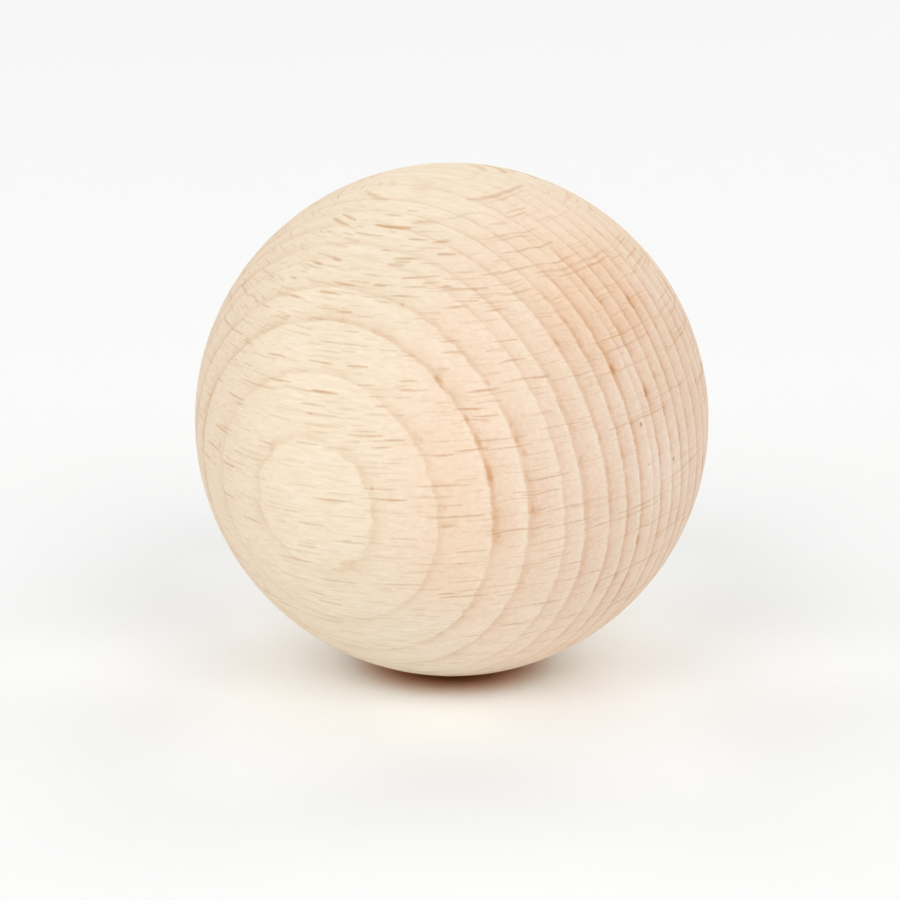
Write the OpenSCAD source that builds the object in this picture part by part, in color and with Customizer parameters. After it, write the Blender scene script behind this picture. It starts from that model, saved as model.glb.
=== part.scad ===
// Plain wooden ball, turned and sanded from one blank of beech.
// One solid piece: no bore, no flat, no fitting.
// The origin is the centre of the ball. +X runs along the grain and +Z is up.

/* [Ball] */
// Diameter of the ball over its sanded surface
ball_d = 50; // [10:1:120]

/* [Hidden] */
// Facets round the equator in the preview
preview_facets = 160;

// The whole ball, a true sphere about the origin
module ball() {
    color("#EBD2B4") sphere(d = ball_d, $fn = preview_facets);
}

ball();
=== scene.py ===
import bpy
import math
from mathutils import Matrix, Vector


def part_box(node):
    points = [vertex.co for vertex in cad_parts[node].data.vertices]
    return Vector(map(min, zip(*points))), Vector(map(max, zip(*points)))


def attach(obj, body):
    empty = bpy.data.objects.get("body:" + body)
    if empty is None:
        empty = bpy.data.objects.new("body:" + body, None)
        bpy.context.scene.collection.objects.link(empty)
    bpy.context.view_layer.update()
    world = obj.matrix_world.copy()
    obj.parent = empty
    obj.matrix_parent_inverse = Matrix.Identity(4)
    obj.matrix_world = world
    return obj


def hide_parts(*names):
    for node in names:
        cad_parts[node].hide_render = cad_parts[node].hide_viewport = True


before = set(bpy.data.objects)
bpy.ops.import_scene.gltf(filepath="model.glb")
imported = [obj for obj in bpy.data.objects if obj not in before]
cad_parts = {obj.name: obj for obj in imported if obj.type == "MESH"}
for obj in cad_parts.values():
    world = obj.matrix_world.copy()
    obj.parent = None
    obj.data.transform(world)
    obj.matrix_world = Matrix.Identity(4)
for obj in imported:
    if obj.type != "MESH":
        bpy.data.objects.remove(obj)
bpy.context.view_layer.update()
print("stage 1: frame loaded")

ballLow, ballHigh = (Vector(corner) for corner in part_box("ball"))
ballRadius = (ballHigh.z - ballLow.z) / 2
ballCentre = Vector((0, 0, (ballHigh.z + ballLow.z) / 2))
floorHeight = ballLow.z


# small helpers for building node trees

def addNode(tree, kind, inputs=None, **settings):
    node = tree.nodes.new(kind)
    for name, value in settings.items():
        setattr(node, name, value)
    for name, value in (inputs or {}).items():
        feed(tree, node.inputs[name], value)
    return node


def feed(tree, socket, value):
    if isinstance(value, bpy.types.NodeSocket):
        tree.links.new(value, socket)
    else:
        socket.default_value = value


def maths(tree, operation, *values, clamp=False):
    node = tree.nodes.new("ShaderNodeMath")
    node.operation = operation
    node.use_clamp = clamp
    for socket, value in zip(node.inputs, values):
        feed(tree, socket, value)
    return node.outputs[0]


def product(tree, first, *others):
    for other in others:
        first = maths(tree, "MULTIPLY", first, other)
    return first


def vectorMaths(tree, operation, *values):
    node = tree.nodes.new("ShaderNodeVectorMath")
    node.operation = operation
    for socket, value in zip(node.inputs, values):
        feed(tree, socket, value)
    return node.outputs["Value" if operation == "LENGTH" else "Vector"]


def scaled(tree, vector, amount):
    return addNode(tree, "ShaderNodeVectorMath", {0: vector, "Scale": amount}, operation="SCALE").outputs[0]


def spread(tree, value, fromLow, fromHigh, toLow=0.0, toHigh=1.0, smooth=False):
    node = tree.nodes.new("ShaderNodeMapRange")
    node.interpolation_type = "SMOOTHSTEP" if smooth else "LINEAR"
    for name, number in zip(("Value", "From Min", "From Max", "To Min", "To Max"),
                            (value, fromLow, fromHigh, toLow, toHigh)):
        feed(tree, node.inputs[name], number)
    return node.outputs["Result"]


def noise(tree, place, kind, change=None, scale=1.0):
    # kind: how fast it changes along each axis, then detail, roughness and seed; change shifts the seed
    pace, detail, roughness, seed = kind
    if change is not None:
        seed = maths(tree, "ADD", change, seed)
    node = tree.nodes.new("ShaderNodeTexNoise")
    node.noise_dimensions = "4D"
    for name, value in (("Vector", vectorMaths(tree, "MULTIPLY", place, pace)), ("W", seed),
                        ("Scale", scale), ("Detail", detail), ("Roughness", roughness)):
        feed(tree, node.inputs[name], value)
    return node.outputs[0]


def graph(tree, value, points, low=0.0, high=1.0, bottom=0.0, top=1.0):
    # straight lines through points, on a sheet that goes from low to high across and from bottom to top
    node = tree.nodes.new("ShaderNodeFloatCurve")
    line = node.mapping.curves[0]
    while len(line.points) < len(points):
        line.points.new(0.5, 0.5)
    for point, (across, up) in zip(line.points, points):
        point.location = ((across - low) / (high - low), (up - bottom) / (top - bottom))
        point.handle_type = "VECTOR"
    node.mapping.update()
    feed(tree, node.inputs["Value"], spread(tree, value, low, high))
    return spread(tree, node.outputs[0], 0, 1, bottom, top)


def mixColour(tree, amount, first, second, blend="MIX"):
    node = tree.nodes.new("ShaderNodeMix")
    node.data_type = "RGBA"
    node.blend_type = blend
    feed(tree, node.inputs[0], amount)
    feed(tree, node.inputs[6], first)
    feed(tree, node.inputs[7], second)
    return node.outputs[2]


def newGroup(name, kind, inputs, outputs):
    group = bpy.data.node_groups.new(name, kind)
    for socketName, (socketKind, value) in inputs.items():
        socket = group.interface.new_socket(socketName, in_out="INPUT",
                                            socket_type="NodeSocket" + socketKind)
        if value is not None:
            socket.default_value = value
    for socketName, socketKind in outputs.items():
        group.interface.new_socket(socketName, in_out="OUTPUT", socket_type="NodeSocket" + socketKind)
    return group, group.nodes.new("NodeGroupInput").outputs, group.nodes.new("NodeGroupOutput").inputs


def useGroup(tree, group, **values):
    node = tree.nodes.new("ShaderNodeGroup" if tree.type == "SHADER" else "GeometryNodeGroup")
    node.node_tree = group
    for name, value in values.items():
        feed(tree, node.inputs[name[0].upper() + name[1:]], value)
    return node.outputs


def emptyTree(owner):
    owner.use_nodes = True
    owner.node_tree.nodes.clear()
    return owner.node_tree


def addObject(name, data):
    made = bpy.data.objects.new(name, data)
    bpy.context.scene.collection.objects.link(made)
    return made


def outwards(azimuth, elevation):
    # the direction out from the ball, in degrees round from the -Y side towards +X and degrees up
    turn = math.radians(azimuth)
    rise = math.radians(elevation)
    return Vector((math.sin(turn) * math.cos(rise), -math.cos(turn) * math.cos(rise), math.sin(rise)))


# camera: it looks straight at the middle of the ball, and the shifts slide the frame

cameraView = {
    "azimuth": 31.3,        # degrees, from the -Y side towards +X
    "elevation": 14.6,      # degrees above the ball's equator
    "distance": 0.35,       # metres from the middle of the ball
    "lens": 143.5,          # millimetres
    "sensor": 36,           # millimetres
    "nearest": 0.01,        # metres
    "shiftX": -0.00199,     # parts of the frame's width
    "shiftY": -0.03404,
}


def buildCamera(values):
    back = outwards(values["azimuth"], values["elevation"])
    turn = math.radians(values["azimuth"])
    right = Vector((math.cos(turn), math.sin(turn), 0))
    up = back.cross(right)
    data = bpy.data.cameras.new("camera")
    data.lens = values["lens"]
    data.sensor_width = values["sensor"]
    data.shift_x = values["shiftX"]
    data.shift_y = values["shiftY"]
    data.clip_start = values["nearest"]
    data.dof.use_dof = False
    camera = addObject("camera", data)
    turned = Matrix((right, up, back)).transposed().to_4x4()
    camera.matrix_world = Matrix.Translation(ballCentre + back * values["distance"]) @ turned
    bpy.context.scene.camera = camera


buildCamera(cameraView)
print("stage 2: camera placed")


# how the growth rings lie in the blank the ball was turned from; all sizes in millimetres

halfBlank = 25.0    # lists that go by place run from this far below the middle to this far above it

growth = {
    # where each year's dark edge lies, along the line from heart to bark, 0 at the ball's middle
    "edges": (-24.0, -22.0, -20.3, -18.2, -15.9, -14.2, -11.9, -9.6, -8.0, -5.9, -3.7, -1.55,
              0.2, 1.95, 3.95, 4.95, 6.8, 8.6, 10.55, 12.85, 14.35, 16.95, 19.25, 22.05, 24.25, 26.5),
    # how dark the edge at the bark end of each year is
    "darkness": (0.6, 0.5, 0.7, 0.6, 0.5, 0.7, 0.6, 0.6, 0.5, 0.55, 0.6, 0.6,
                 0.8, 0.65, 0.85, 0.4, 1.0, 0.8, 0.75, 0.65, 0.5, 0.75, 1.0, 0.6, 0.7, 0.7),
    "reach": 27.0,              # the edges above lie within this distance of the middle
    "heartDistance": 375.0,     # from the heart of the tree to the middle of the ball
    # how far the deeper rings are pushed towards the bark, at places across the blank from low to high
    "bend": ((-25, 0.5), (-19, 0.6), (-14, 1.0), (-9, 1.0), (-4, 0.75), (0, 0.45), (4, 0.2), (8, 0.1),
             (15, 0.1), (20, -0.1), (25, -0.3)),
    "bendLimits": (-1.0, 2.0),  # every push above lies between these
    "bendFades": (17.0, 10.0),  # the push starts this far up towards the bark, and is full this far up
    # how far a ring strays at most, slowly and then in ripples; the noise for each: how fast it changes along
    # the grain, across it and from heart to bark, then detail, roughness and seed
    "wander": 0.30,
    "wanderNoise": ((0.022, 0.05, 0.03), 1.0, 0.5, 3.1),
    "ripple": 0.32,
    "rippleNoise": ((0.2, 0.95, 0.3), 4.0, 0.72, 7.7),
}


def buildGrowthGroup(kind, values):
    # gives the year's number, how far through the year a place is (0 to 1), and the year's darkness; then
    # where the place lies from heart to bark, measured by the rings, and across, measured by the rays
    group, given, out = newGroup("growth rings " + kind, kind,
                                 {"Place": ("Vector", None)},
                                 {"Year": "Float", "Season": "Float", "Darkness": "Float",
                                  "Radial": "Float", "Across": "Float"})
    place = given["Place"]
    parts = addNode(group, "ShaderNodeSeparateXYZ", {0: place}).outputs
    heart = maths(group, "ADD", parts["Z"], values["heartDistance"])
    across = product(group, maths(group, "DIVIDE", parts["Y"], heart), values["heartDistance"])
    squares = maths(group, "ADD", product(group, parts["Y"], parts["Y"]), product(group, heart, heart))
    radial = maths(group, "SUBTRACT", maths(group, "SQRT", squares), values["heartDistance"])
    bent = graph(group, parts["Y"], values["bend"], -halfBlank, halfBlank, *values["bendLimits"])
    deepSide = spread(group, parts["Z"], *values["bendFades"], 0.0, 1.0, smooth=True)
    shifted = maths(group, "ADD", radial, product(group, bent, deepSide))
    for name in ("wander", "ripple"):
        stray = maths(group, "SUBTRACT", noise(group, place, values[name + "Noise"]), 0.5)
        shifted = maths(group, "ADD", shifted, product(group, stray, values[name] * 2))

    reach = values["reach"]
    years = len(values["edges"]) + 1
    edges = [(edge, index + 1) for index, edge in enumerate(values["edges"])]
    count = graph(group, shifted, [(-reach, 0), *edges, (reach, years)], -reach, reach, 0, years)
    year = maths(group, "FLOOR", count)
    amounts = values["darkness"]
    steps = [(index + 0.5, amount) for index, amount in enumerate(amounts)]
    darkness = graph(group, maths(group, "ADD", year, 0.5), [(0, amounts[0]), *steps, (years, amounts[-1])],
                     0, years)
    for name, value in (("Year", year), ("Season", maths(group, "FRACT", count)), ("Darkness", darkness),
                        ("Radial", shifted), ("Across", across)):
        group.links.new(value, out[name])
    return group


# the ball's surface: a round cube, its faces spread evenly, with the faint relief that sanding leaves

ballSurface = {
    "facets": 120,          # points along each side of the round cube
    "relief": 0.012,        # millimetres that soft early wood sinks below the dark edges
    "crest": 0.12,          # how far past each dark edge the surface stands highest, in parts of a year
    "sanding": 0.02,        # millimetres of slow unevenness
    "sandingPace": 0.11,    # how fast that changes, per millimetre
    "seed": 4.2,
    "grainTurn": -96.94,    # degrees about the grain, from upright to the heart-to-bark line
}


def buildBallMesh(values, growthGroup, material):
    tree, given, out = newGroup("ball surface", "GeometryNodeTree",
                                {"Radius": ("Float", 0.0), "Facets": ("Int", 8),
                                 "Relief": ("Float", 0.0), "Sanding": ("Float", 0.0),
                                 "Seed": ("Float", 0.0), "Material": ("Material", None)},
                                {"Geometry": "Geometry"})
    cube = addNode(tree, "GeometryNodeMeshCube",
                   {"Size": (2, 2, 2), "Vertices X": given["Facets"],
                    "Vertices Y": given["Facets"], "Vertices Z": given["Facets"]})
    position = addNode(tree, "GeometryNodeInputPosition").outputs[0]
    evened = vectorMaths(tree, "TANGENT", scaled(tree, position, math.pi / 4))
    outward = vectorMaths(tree, "NORMALIZE", evened)
    millimetres = scaled(tree, outward, product(tree, given["Radius"], 1000.0))
    turned = addNode(tree, "ShaderNodeVectorRotate",
                     {"Vector": millimetres, "Angle": math.radians(values["grainTurn"])},
                     rotation_type="X_AXIS").outputs[0]
    rings = useGroup(tree, growthGroup, place=turned)
    pastCrest = maths(tree, "SUBTRACT", rings["Season"], values["crest"])
    wave = maths(tree, "COSINE", product(tree, pastCrest, 2 * math.pi))
    soft = product(tree, maths(tree, "SUBTRACT", 1.0, wave), 0.5)
    hollow = product(tree, soft, given["Relief"], rings["Darkness"])
    waves = noise(tree, turned, ((1, 1, 1), 2.0, 0.5, given["Seed"]), scale=values["sandingPace"])
    uneven = product(tree, waves, given["Sanding"])
    depth = maths(tree, "DIVIDE", maths(tree, "ADD", hollow, uneven), 1000.0)
    placed = scaled(tree, outward, maths(tree, "SUBTRACT", given["Radius"], depth))
    moved = addNode(tree, "GeometryNodeSetPosition",
                    {"Geometry": cube.outputs["Mesh"], "Position": placed})
    smooth = addNode(tree, "GeometryNodeSetShadeSmooth", {"Geometry": moved.outputs[0]})
    real = addNode(tree, "GeometryNodeRealizeInstances", {"Geometry": smooth.outputs[0]})
    coated = addNode(tree, "GeometryNodeSetMaterial",
                     {"Geometry": real.outputs[0], "Material": given["Material"]})
    tree.links.new(coated.outputs[0], out["Geometry"])

    shell = addObject("shell", bpy.data.meshes.new("shell"))
    modifier = shell.modifiers.new("surface", "NODES")
    modifier.node_group = tree
    wanted = {"Radius": ballRadius, "Facets": values["facets"], "Relief": values["relief"],
              "Sanding": values["sanding"], "Seed": values["seed"], "Material": material}
    for item in tree.interface.items_tree:
        if item.item_type == "SOCKET" and item.in_out == "INPUT":
            modifier[item.identifier] = wanted[item.name]
    shell.update_tag()
    made = shell.evaluated_get(bpy.context.evaluated_depsgraph_get())
    mesh = bpy.data.meshes.new_from_object(made)
    bpy.data.objects.remove(shell)
    mesh.name = "beechBall"
    mesh.transform(Matrix.Translation(ballCentre))
    return addObject("beechBall", mesh)


# beech, sanded and left bare; sizes in millimetres, x along the grain, y across it, z from heart to bark

beech = {
    "pale": (0.935, 0.804, 0.63, 1),        # early wood
    "early": (0.955, 0.847, 0.67, 1),       # the first, palest wood of a year, towards the end grain
    "dark": (0.79, 0.575, 0.385, 1),        # the dark edge of each year
    "ray": (0.63, 0.36, 0.16, 1),           # the bold flecks that rays make
    "fine": (0.75, 0.54, 0.335, 1),         # the faint ones
    "stain": (0.65, 0.32, 0.105, 1),        # orange stains on some dark edges
    "speck": (0.32, 0.20, 0.14, 1),
    # tints that multiply the wood's colour
    "warm": (0.99, 0.88, 0.78, 1),          # in the warmer areas
    "bleachAndPaintedLight": (1.03, 1.06, 1.1, 1),       # in the paler areas: a real pale haze, and painted light low on the ball
    "ruddy": (1.01, 0.945, 0.94, 1),        # on the half that shows its end grain
    "paintedShade": (0.945, 0.915, 0.905, 1),     # painted shade over the half that shows its side grain, towards the -X end
    "endGrain": (0.917, 0.91, 0.94, 1),     # where the surface cuts straight across the fibres
    "lightPowers": (0.62, 1.0, 1.45),       # darker fibres lose blue first and red last
    "specular": 0.05,
    "bump": 0.12,
    "bumpDepth": 0.00003,                   # metres
    "bumpShare": 0.3,                       # how much of that depth fibres and flecks take up
    # noises: how fast each changes along the grain, across it and from heart to bark, per millimetre, then
    # detail, roughness and seed
    "noises": {
        "fibres": ((0.9, 5.5, 5.5), 3.0, 0.75, 2.0),
        "strands": ((0.35, 2.6, 2.6), 2.0, 0.6, 8.0),
        "clouds": ((0.12, 0.3, 0.3), 2.0, 0.5, 6.0),
        "ringPatches": ((0.25, 0.4, 0.05), 3.0, 0.6, 0.0),
        "ringStains": ((0.9, 0.5, 0.2), 2.0, 0.6, 2.2),
        "raySway": ((0.1, 0.15, 0.4), 1.0, 0.5, 12.0),
        "rayBreaks": ((0.35, 0.9, 0.5), 2.0, 0.6, 15.0),
    },
    "yearSeed": 5.3,                        # how much the noise on rings shifts from year to year
    # what the noises do: least, most, and how far from 0.5 a noise gets for the least and the most
    "swings": {
        "raySway": (-0.15, 0.15, 0.25),     # millimetres to the side
        "rayBreaks": (0.5, 1.3, 0.2),
        "ringFraying": (-0.6, 0.6, 0.25),   # how the dark edge's heart side breaks into streaks
        "ringPatches": (0.4, 1.55, 0.2),
        "ringStreaks": (0.7, 1.25, 0.2),
        "stainStreaks": (0.5, 1.0, 0.2),
        "areaRims": (-0.35, 0.35, 0.3),
        "fibreLight": (0.93, 1.045, 0.25),
        "strandLight": (0.925, 1.045, 0.25),
        "cloudLight": (0.98, 1.015, 0.25),
        "roughness": (0.61, 0.72, 0.3),
    },
    # how the dark edge fades towards the heart: 0 at the edge, 1 at the year before
    "yearProfile": ((0, 0.35), (0.04, 0.78), (0.09, 0.92), (0.15, 0.88), (0.23, 0.62), (0.33, 0.37),
                    (0.5, 0.22), (0.7, 0.14), (0.86, 0.03), (1, 0)),
    "firstWoodEnds": 0.5,                   # where in the year the first, palest wood has given way
    # chance stains on dark edges: noise where they start and where they are full, then least and most
    "stainChance": (0.52, 0.72, 0, 0.85),
    "stainPower": 1.6,                      # above 1, they keep to the darkest wood
    "tonePower": 1.5,                       # above 1, more flecks are faint than bold
    # how clearly the rings show, from one pole of the grain to the other
    "ringContrast": ((-25, 1.4), (-21, 1.4), (-12, 0.7), (-4, 0.7), (8, 0.9), (14, 0.9), (21, 1.4),
                     (25, 1.4)),
    # how things change over the ball: direction, from, to, amount before, amount beyond, whether it eases
    "fades": {
        "thinEdges": ("along", 11, 21, 1.75, 1.0, True),
        "thinBarkEdges": ("deep", 19, 24, 0.0, 1.2, True),
        "ringsBelow": ("across", -12, -2, 0.85, 1.0, True),
        "ringsAbove": ("across", 5, 12, 0.78, 0.88, True),
        "ringsOnTop": ("across", 17, 23, 1.0, 0.65, True),
        "firstWood": ("along", 8, 17, 0.0, 0.9, True),
        "flecksOnTop": ("across", 6, 16, 1.0, 1.42, True),
        "flecksByBark": ("deep", 18, 24.5, 1.0, 0.8, True),
        "flecksByEnd": ("along", 16, 21, 0.95, 1.25, False),
        "flecksAtPole": ("along", 20, 24.5, 1.0, 0.6, True),
        "flecksAtSides": ("aside", 24, 24.9, 1.0, 0.35, False),
        "upperAlong": ("along", 4, 13, 0.0, 1.0, False),
        "upperAcross": ("across", 6, 12, 0.0, 1.0, False),
        "ruddy": ("along", 3, 14, 0.0, 1.0, True),
        # painted shade towards the -X end of the grain
        "paintedShade": ("along", -2, -14, 0.0, 1.0, True),
        "endGrain": ("endwise", 0.5, 1.0, 0.0, 1.0, True),
    },
    # fleck layers: share is how many cells hold a fleck, tones how strong its faintest and boldest are, and
    # upper how much is left of them on the upper side of the end grain
    "flecks": {
        "small": {
            "sizes": {"cell": (1.9, 0.34, 4.0), "length": 2.0, "thickness": 0.09, "depth": 3.8,
                      "share": 0.8, "edge": 0.05, "seed": 9.0},
            "tones": (0.1, 0.6), "tint": "fine", "upper": 0.8,
        },
        "middling": {
            "sizes": {"cell": (3.5, 0.65, 12.0), "length": 3.7, "thickness": 0.13, "depth": 10.0,
                      "share": 0.7, "edge": 0.065, "seed": 5.0},
            "tones": (0.15, 0.65), "tint": "ray", "upper": 0.7,
        },
        "big": {
            "sizes": {"cell": (5.0, 1.4, 16.0), "length": 4.4, "thickness": 0.19, "depth": 13.0,
                      "share": 0.55, "edge": 0.08, "seed": 1.0},
            "tones": (0.25, 0.8), "tint": "ray", "upper": 0.3,
        },
    },
    # single marks, each at a place along and across the grain, then length, width and strength
    "boldFlecks": (
        (-10, 18, 2.2, 0.36, 0.45), (-5.5, 17.5, 3.2, 0.36, 0.6), (-4.5, 20, 2.6, 0.48, 0.6),
        (-2.5, 20.5, 1.6, 0.54, 0.6), (0, 19, 3.2, 0.36, 0.45), (-5.5, 16, 1.2, 0.42, 0.45),
        (0.5, 23.5, 2.5, 0.54, 0.5), (2, 21.5, 1.6, 0.42, 0.45), (4.5, 21, 3.0, 0.54, 0.55),
        (6.5, 22, 2.2, 0.54, 0.6), (5.5, 18.5, 2.6, 0.34, 0.5), (9, 19, 1.5, 0.48, 0.5),
        (13.5, 19.5, 6.5, 0.36, 0.4), (14.5, 18, 3.8, 0.36, 0.4), (10.5, 17.5, 2.5, 0.42, 0.5),
        (13.5, 17, 2.7, 0.42, 0.5), (14.5, 11, 3.8, 0.42, 0.6), (16, 13, 3.4, 0.3, 0.5),
        (11, 15, 2.3, 0.36, 0.45), (14, 9.5, 3.5, 0.36, 0.45), (8.5, 12, 2.4, 0.26, 0.45),
        (6.5, 10, 1.7, 0.38, 0.5), (7, 6.5, 2.6, 0.29, 0.45), (0.5, 14, 3.9, 0.24, 0.4),
        (12.5, -1, 2.1, 0.36, 0.45), (13, -5, 2.3, 0.31, 0.4), (-9.5, 8, 1.8, 0.34, 0.4),
    ),
    "stains": (
        (15.8, 3.4, 3.0, 0.9, 0.95), (14.8, 6.6, 2.2, 0.7, 0.8), (13.7, 8.7, 1.2, 0.6, 0.7),
        (11, 12, 0.9, 0.7, 0.8), (14.7, 11.5, 1.0, 0.6, 0.5), (18.1, 5.1, 1.0, 0.7, 0.6),
        (12.4, 0.7, 0.9, 0.6, 0.3), (6.2, 2.6, 0.6, 0.5, 0.7), (-0.4, 8.8, 0.9, 0.5, 0.35),
        (10.3, 7.1, 0.9, 0.5, 0.4), (18.3, 13.7, 1.3, 0.7, 0.55), (22.9, 1.8, 2.4, 0.6, 0.4),
        (-12.5, 3.2, 1.7, 0.5, 0.45),
    ),
    "specks": ((24, 4.7, 0.42, 0.75, 0.65), (24.98, -0.1, 0.6, 0.65, 0.6), (24.5, 0.7, 0.4, 0.5, 0.25)),
    # how soft the rims of the marks are, from 0, crisp, to 1
    "markRims": {"boldFlecks": 0.75, "stains": 0.9, "specks": 0.7},
    # warmer areas of the wood: middle, reach, strength
    "warmAreas": (
        ((18.5, 15.5, 2.5), (8, 8, 11), 0.7),
        ((13.5, 0.0, 20.8), (5, 12, 4), 0.2),
        ((23.5, 8.0, -3.0), (5, 9, 9), 0.3),
    ),
    # paler areas, same columns: a pale haze on the end grain, then painted light low on the ball
    "paleAndPaintedLightAreas": (
        ((24.7, -0.5, 2.0), (4, 7, 6), 1.0),
        ((10.0, -16.0, 17.0), (14, 9, 12), 0.9),
    ),
}


def buildFleckGroup():
    # thin spindles that lie along the grain and reach from heart to bark, one to a cell
    group, given, out = newGroup("ray flecks", "ShaderNodeTree",
                                 {"Place": ("Vector", None), "Cell": ("Vector", (4, 1, 12)),
                                  "Length": ("Float", 2.0), "Thickness": ("Float", 0.2),
                                  "Depth": ("Float", 8.0), "Share": ("Float", 0.7),
                                  "Edge": ("Float", 0.04), "Seed": ("Float", 0.0)},
                                 {"Mask": "Float", "Tone": "Float"})
    # each seed slides the cells to another place
    byCell = vectorMaths(group, "DIVIDE", given["Place"], given["Cell"])
    spot = vectorMaths(group, "ADD", byCell, scaled(group, (0.37, 0.61, 0.83), given["Seed"]))
    cells = addNode(group, "ShaderNodeTexVoronoi", {"Vector": spot, "Scale": 1.0, "Randomness": 1.0},
                    feature="F1", distance="EUCLIDEAN")
    gap = vectorMaths(group, "MULTIPLY", vectorMaths(group, "SUBTRACT", spot, cells.outputs["Position"]),
                      given["Cell"])
    away = addNode(group, "ShaderNodeSeparateXYZ", {0: vectorMaths(group, "ABSOLUTE", gap)}).outputs
    chance = addNode(group, "ShaderNodeSeparateColor", {0: cells.outputs["Color"]}).outputs
    # half sizes: chance makes some flecks short and thin, others long and thick
    halfLength = product(group, given["Length"], spread(group, chance[0], 0, 1, 0.22, 0.62))
    halfThick = product(group, given["Thickness"], spread(group, chance[1], 0, 1, 0.25, 0.7))
    halfDepth = product(group, given["Depth"], 0.5)
    along = maths(group, "POWER", maths(group, "DIVIDE", away["X"], halfLength), 2.0)
    deep = maths(group, "POWER", maths(group, "DIVIDE", away["Z"], halfDepth), 2.0)
    left = maths(group, "SUBTRACT", maths(group, "SUBTRACT", 1.0, along), deep)
    body = maths(group, "SQRT", maths(group, "MAXIMUM", left, 0.0))
    room = maths(group, "SUBTRACT", product(group, body, halfThick), away["Y"])
    inside = maths(group, "DIVIDE", maths(group, "ADD", room, given["Edge"]),
                   product(group, given["Edge"], 2.0), clamp=True)
    kept = maths(group, "LESS_THAN", chance[2], given["Share"])
    fading = spread(group, body, 0.0, 0.5, 0, 1, smooth=True)
    # the tone is another chance, mixed from the first two
    mixed = product(group, maths(group, "ADD", chance[0], chance[1]), 7.31)
    group.links.new(product(group, inside, kept, fading), out["Mask"])
    group.links.new(maths(group, "FRACT", mixed), out["Tone"])
    return group


def buildAreaGroup():
    # a soft, uneven patch round one spot
    group, given, out = newGroup("soft area", "ShaderNodeTree",
                                 {"Place": ("Vector", None), "Middle": ("Vector", (0, 0, 0)),
                                  "Reach": ("Vector", (5, 5, 5)), "Strength": ("Float", 1.0),
                                  "Unevenness": ("Float", 0.5)},
                                 {"Mask": "Float"})
    offset = vectorMaths(group, "DIVIDE", vectorMaths(group, "SUBTRACT", given["Place"], given["Middle"]),
                         given["Reach"])
    far = maths(group, "ADD", vectorMaths(group, "LENGTH", offset), given["Unevenness"])
    mask = spread(group, far, 1.15, 0.25, 0, 1, smooth=True)
    group.links.new(product(group, mask, given["Strength"]), out["Mask"])
    return group


def buildMarkGroup():
    # one small oval mark; its place, turn and size are worked out by addMarks
    group, given, out = newGroup("mark", "ShaderNodeTree",
                                 {"Place": ("Vector", None), "Middle": ("Vector", (0, 0, 0)),
                                  "Turn": ("Vector", (0, 0, 0)), "Size": ("Vector", (1, 1, 1)),
                                  "Softness": ("Float", 0.3), "Strength": ("Float", 1.0)},
                                 {"Mask": "Float"})
    local = addNode(group, "ShaderNodeMapping",
                    {"Vector": given["Place"], "Location": given["Middle"], "Rotation": given["Turn"],
                     "Scale": given["Size"]}, vector_type="TEXTURE").outputs[0]
    far = vectorMaths(group, "LENGTH", local)
    group.links.new(spread(group, far, 1.0, maths(group, "SUBTRACT", 1.0, given["Softness"]),
                           0.0, given["Strength"]), out["Mask"])
    return group


def addMarks(tree, group, marks, place, softness, layer=(0, 1, 0)):
    # marks lie flat on the ball, drawn out where it cuts a layer of the wood; layer is that layer's upright
    markDepth = 4.0     # millimetres, enough for a mark to keep its shape where the ball curves away
    total = 0.0
    for x, y, length, width, strength in marks:
        z = math.sqrt((ballRadius * 1000) ** 2 - x ** 2 - y ** 2)
        middle = Vector((x, y, z))
        outward = middle.normalized()
        along = Vector(layer).cross(middle).normalized()
        turn = Matrix((along, outward.cross(along), outward)).transposed().to_euler()
        mask = useGroup(tree, group, place=place, middle=middle, turn=turn, softness=softness,
                        size=(length / 2, width / 2, markDepth), strength=strength)["Mask"]
        total = maths(tree, "MAXIMUM", total, mask)
    return total


def addAreas(tree, group, areas, place, uneven):
    total = 0.0
    for middle, reach, strength in areas:
        mask = useGroup(tree, group, place=place, middle=middle, reach=reach, strength=strength,
                        unevenness=uneven)["Mask"]
        total = maths(tree, "ADD", total, mask, clamp=True)
    return total


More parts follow.
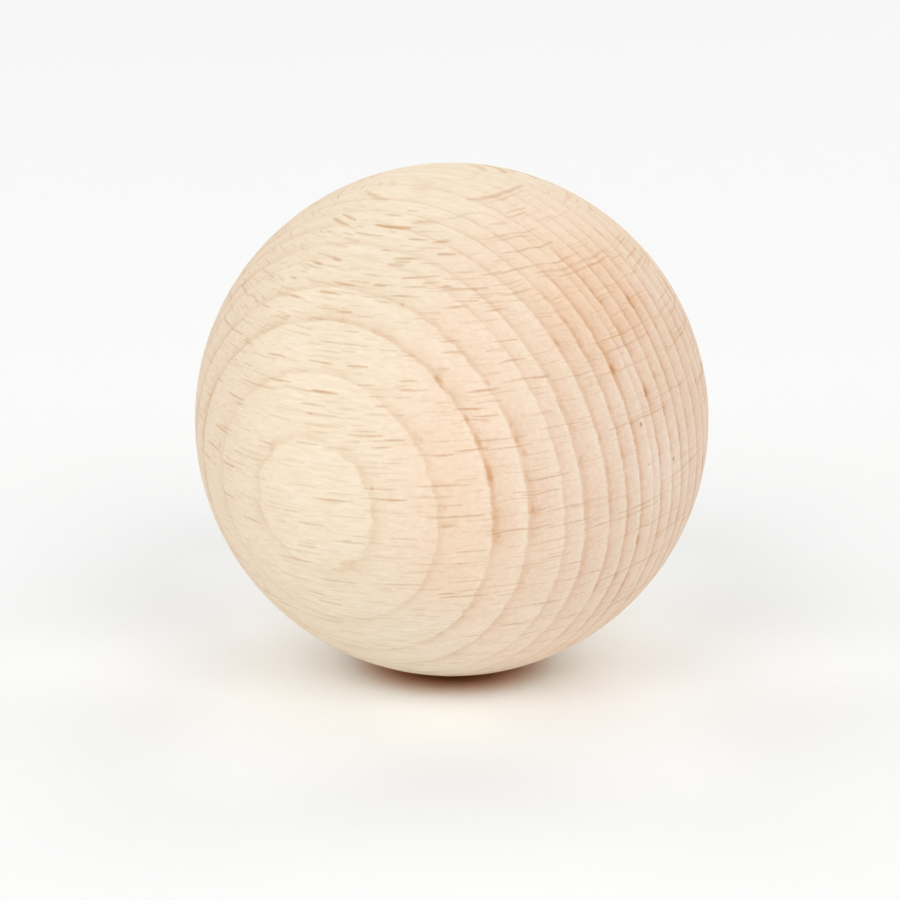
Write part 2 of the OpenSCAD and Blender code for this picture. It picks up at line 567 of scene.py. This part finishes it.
def buildBeech(values, growthGroup, surface):
    material = bpy.data.materials.new("beech sanded bare")
    tree = emptyTree(material)
    coordinates = addNode(tree, "ShaderNodeTexCoord")
    place = addNode(tree, "ShaderNodeMapping",
                    {"Vector": coordinates.outputs["Object"], "Scale": (1000, 1000, 1000),
                     "Rotation": (math.radians(surface["grainTurn"]), 0, 0)}).outputs[0]
    rings = useGroup(tree, growthGroup, place=place)
    parts = addNode(tree, "ShaderNodeSeparateXYZ", {0: place}).outputs
    noises = values["noises"]
    rims = values["markRims"]

    # directions for the fades; endwise is how squarely the surface cuts across the fibres, 0 along them and 1
    # at the two poles of the grain
    directions = {
        "along": parts["X"],
        "across": parts["Y"],
        "deep": parts["Z"],
        "aside": maths(tree, "ABSOLUTE", parts["Y"]),
        "endwise": maths(tree, "ABSOLUTE", maths(tree, "DIVIDE", parts["X"], ballRadius * 1000)),
    }

    def fade(name):
        direction, start, end, before, beyond, eases = values["fades"][name]
        return spread(tree, directions[direction], start, end, before, beyond, smooth=eases)

    def swing(value, name):
        least, most, reach = values["swings"][name]
        return spread(tree, value, 0.5 - reach, 0.5 + reach, least, most)

    # rays fan out from the heart and sway a little on their way
    sway = swing(noise(tree, place, noises["raySway"]), "raySway")
    fanned = addNode(tree, "ShaderNodeCombineXYZ",
                     {"X": parts["X"], "Y": maths(tree, "ADD", rings["Across"], sway),
                      "Z": rings["Radial"]}).outputs[0]
    swayed = vectorMaths(tree, "ADD", place, addNode(tree, "ShaderNodeCombineXYZ", {"Y": sway}).outputs[0])

    # noises used more than once: fine fibres, strands, slow clouds
    fibre = noise(tree, place, noises["fibres"])
    strand = noise(tree, place, noises["strands"])
    cloud = noise(tree, place, noises["clouds"])

    # areas where the whole wood is warmer or paler; the paler area low on the ball is painted light
    areas = buildAreaGroup()
    uneven = swing(cloud, "areaRims")
    warm = addAreas(tree, areas, values["warmAreas"], place, uneven)
    pale = addAreas(tree, areas, values["paleAndPaintedLightAreas"], place, uneven)

    # rings; the dark edge is thinner away from the end grain, and frays into streaks on its heart side
    season = rings["Season"]
    fraying = product(tree, season, swing(strand, "ringFraying"))
    narrow = maths(tree, "ADD", fade("thinEdges"), fade("thinBarkEdges"))
    inward = maths(tree, "MULTIPLY", maths(tree, "SUBTRACT", 1.0, season),
                   maths(tree, "ADD", narrow, fraying), clamp=True)
    profile = graph(tree, inward, values["yearProfile"])
    yearly = product(tree, rings["Year"], values["yearSeed"])
    patchy = swing(noise(tree, place, noises["ringPatches"], yearly), "ringPatches")
    alongGrain = graph(tree, parts["X"], values["ringContrast"], -halfBlank, halfBlank, 0, 2)
    contrast = product(tree, alongGrain, fade("ringsBelow"), fade("ringsAbove"), fade("ringsOnTop"))
    strength = product(tree, rings["Darkness"], patchy, contrast, swing(strand, "ringStreaks"))
    lateWood = maths(tree, "MULTIPLY", profile, strength, clamp=True)
    seasonStart = spread(tree, season, 0.0, values["firstWoodEnds"], 1, 0, smooth=True)
    firstWood = product(tree, seasonStart, fade("firstWood"))
    earlyWood = mixColour(tree, firstWood, values["pale"], values["early"])
    colour = mixColour(tree, lateWood, earlyWood, values["dark"])

    # stains: some by chance on dark edges, and single ones
    patches = noise(tree, place, noises["ringStains"], yearly)
    chance = spread(tree, patches, *values["stainChance"], smooth=True)
    stained = product(tree, chance, maths(tree, "POWER", lateWood, values["stainPower"]))
    colour = mixColour(tree, stained, colour, values["stain"])
    marks = buildMarkGroup()
    stains = addMarks(tree, marks, values["stains"], place, rims["stains"], layer=(0, 0, 1))
    stains = product(tree, stains, swing(strand, "stainStreaks"))
    colour = mixColour(tree, stains, colour, values["stain"])

    # flecks, fainter where the bark side faces out
    flecks = buildFleckGroup()
    broken = swing(noise(tree, place, noises["rayBreaks"]), "rayBreaks")
    bold = product(tree, broken, fade("flecksOnTop"), fade("flecksByBark"), fade("flecksByEnd"),
                   fade("flecksAtPole"), fade("flecksAtSides"))
    upperEnd = product(tree, fade("upperAlong"), fade("upperAcross"))
    hollows = 0.0
    for layer in values["flecks"].values():
        found = useGroup(tree, flecks, place=fanned, **layer["sizes"])
        tone = spread(tree, maths(tree, "POWER", found["Tone"], values["tonePower"]), 0, 1, *layer["tones"])
        upper = spread(tree, upperEnd, 0, 1, 1.0, layer["upper"])
        seen = product(tree, found["Mask"], tone, bold, upper)
        colour = mixColour(tree, seen, colour, values[layer["tint"]])
        hollows = maths(tree, "ADD", hollows, seen)
    seen = addMarks(tree, marks, values["boldFlecks"], swayed, rims["boldFlecks"])
    colour = mixColour(tree, seen, colour, values["ray"])
    hollows = maths(tree, "ADD", hollows, seen)

    # fibres, strands and clouds darken and lighten the wood
    light = product(tree, swing(fibre, "fibreLight"), swing(strand, "strandLight"),
                    swing(cloud, "cloudLight"))
    red, green, blue = (maths(tree, "POWER", light, power) for power in values["lightPowers"])
    lit = addNode(tree, "ShaderNodeCombineColor", {0: red, 1: green, 2: blue}).outputs[0]
    colour = mixColour(tree, 1.0, colour, lit, "MULTIPLY")
    # tints over the wood; among them painted shade towards the -X end, and painted light in the paler area
    # low on the ball
    for amount, tint in ((warm, "warm"), (pale, "bleachAndPaintedLight"), (fade("ruddy"), "ruddy"),
                         (fade("paintedShade"), "paintedShade"), (fade("endGrain"), "endGrain")):
        tinted = mixColour(tree, 1.0, colour, values[tint], "MULTIPLY")
        colour = mixColour(tree, amount, colour, tinted)
    specks = addMarks(tree, marks, values["specks"], place, rims["specks"])
    colour = mixColour(tree, specks, colour, values["speck"])

    # fibres stand up a little and flecks lie a little lower
    height = product(tree, maths(tree, "SUBTRACT", fibre, hollows), values["bumpShare"])
    bump = addNode(tree, "ShaderNodeBump",
                   {"Strength": values["bump"], "Distance": values["bumpDepth"], "Height": height})
    shader = addNode(tree, "ShaderNodeBsdfPrincipled",
                     {"Base Color": colour, "Roughness": swing(fibre, "roughness"),
                      "Normal": bump.outputs[0], "Specular IOR Level": values["specular"]})
    addNode(tree, "ShaderNodeOutputMaterial", {"Surface": shader.outputs[0]})
    return material


beechMaterial = buildBeech(beech, buildGrowthGroup("ShaderNodeTree", growth), ballSurface)
print("stage 3: beech made")
beechBall = buildBallMesh(ballSurface, buildGrowthGroup("GeometryNodeTree", growth), beechMaterial)
print("stage 4: ball made,", len(beechBall.data.polygons), "faces")
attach(beechBall, "root")
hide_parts("ball")


# floor and light

studio = {
    "floorSize": 8.0,
    "floorColour": (0.985, 0.985, 0.982, 1),
    "contactColour": (0.78, 0.37, 0.15, 1),     # painted shadow under the ball, dark and warm like the light that passes many times between the floor and the wood
    "contactReach": 0.0115,                     # metres from the point where the ball touches the floor
    "contactCore": 0.32,                        # the share of that reach that has the full colour
    "coolColour": (0.975, 0.995, 1.0, 1),       # near the ball, against the warm glow that the wood throws
    "coolReach": 0.09,
    "coolCore": 0.3,
    "fadeFrom": 0.42,       # metres from the ball where the floor starts to melt into the white backdrop
    "fadeTo": 0.65,
    "backdrop": 0.965,      # how white the backdrop looks
    "world": 0.275,         # how strongly the studio round about lights the ball
    "lampAway": 1.0,        # metres from the ball
    "lampAcross": 0.6,
    # each lamp: degrees round from the camera, degrees up, watts
    "lamps": {
        "frontLeft": (-30, 38, 3.04),
        "frontRight": (30, 38, 2.88),
        "sideLeft": (-90, 27, 1.95),
        "sideRight": (90, 27, 1.62),
        "backLeft": (-150, 41, 1.72),
        "backRight": (150, 41, 2.07),
    },
}


def seenDirectly(tree):
    # 1 for what the camera, a reflection or glass looks at, 0 for what lights things
    path = addNode(tree, "ShaderNodeLightPath").outputs
    seen = maths(tree, "ADD", path["Is Camera Ray"], path["Is Glossy Ray"])
    return maths(tree, "ADD", seen, path["Is Transmission Ray"], clamp=True)


def buildFloor(values):
    half = values["floorSize"] / 2
    mesh = bpy.data.meshes.new("floor")
    corners = [(-half, -half), (half, -half), (half, half), (-half, half)]
    mesh.from_pydata([(x, y, floorHeight) for x, y in corners], [], [(0, 1, 2, 3)])
    floor = addObject("floor", mesh)
    material = bpy.data.materials.new("pale table")
    tree = emptyTree(material)
    place = addNode(tree, "ShaderNodeTexCoord").outputs["Object"]
    away = vectorMaths(tree, "LENGTH", vectorMaths(tree, "MULTIPLY", place, (1, 1, 0)))
    table = values["floorColour"]
    # a cooler ring round the ball, then the painted shadow under it
    for name in ("cool", "contact"):
        reach = values[name + "Reach"]
        near = spread(tree, away, reach, reach * values[name + "Core"], smooth=True)
        table = mixColour(tree, near, table, values[name + "Colour"])
    matt = addNode(tree, "ShaderNodeBsdfDiffuse", {"Color": table})
    far = spread(tree, away, values["fadeFrom"], values["fadeTo"], smooth=True)
    faded = product(tree, far, seenDirectly(tree))
    white = addNode(tree, "ShaderNodeEmission", {"Strength": values["backdrop"]})
    both = addNode(tree, "ShaderNodeMixShader", {0: faded, 1: matt.outputs[0], 2: white.outputs[0]})
    # from below, the floor is clear, so that the ball's underside can be looked at
    fromBelow = product(tree, addNode(tree, "ShaderNodeNewGeometry").outputs["Backfacing"],
                        addNode(tree, "ShaderNodeLightPath").outputs["Is Camera Ray"])
    clear = addNode(tree, "ShaderNodeBsdfTransparent")
    finish = addNode(tree, "ShaderNodeMixShader", {0: fromBelow, 1: both.outputs[0], 2: clear.outputs[0]})
    addNode(tree, "ShaderNodeOutputMaterial", {"Surface": finish.outputs[0]})
    mesh.materials.append(material)


def buildWorld(values):
    world = bpy.data.worlds.new("studio")
    bpy.context.scene.world = world
    tree = emptyTree(world)
    strength = spread(tree, seenDirectly(tree), 0, 1, values["world"], values["backdrop"])
    glow = addNode(tree, "ShaderNodeBackground", {"Color": (1, 1, 1, 1), "Strength": strength})
    addNode(tree, "ShaderNodeOutputWorld", {"Surface": glow.outputs[0]})


def buildLamps(values):
    for name, (around, up, power) in values["lamps"].items():
        outward = outwards(cameraView["azimuth"] + around, up)
        data = bpy.data.lights.new(name, "AREA")
        data.shape = "DISK"
        data.size = values["lampAcross"]
        data.energy = power
        lamp = addObject(name, data)
        lamp.location = ballCentre + outward * values["lampAway"]
        lamp.rotation_euler = (-outward).to_track_quat("-Z", "Y").to_euler()
        lamp.visible_camera = False


buildFloor(studio)
buildWorld(studio)
buildLamps(studio)
bpy.context.scene.view_settings.view_transform = "Standard"
print("stage 5: floor and light made")
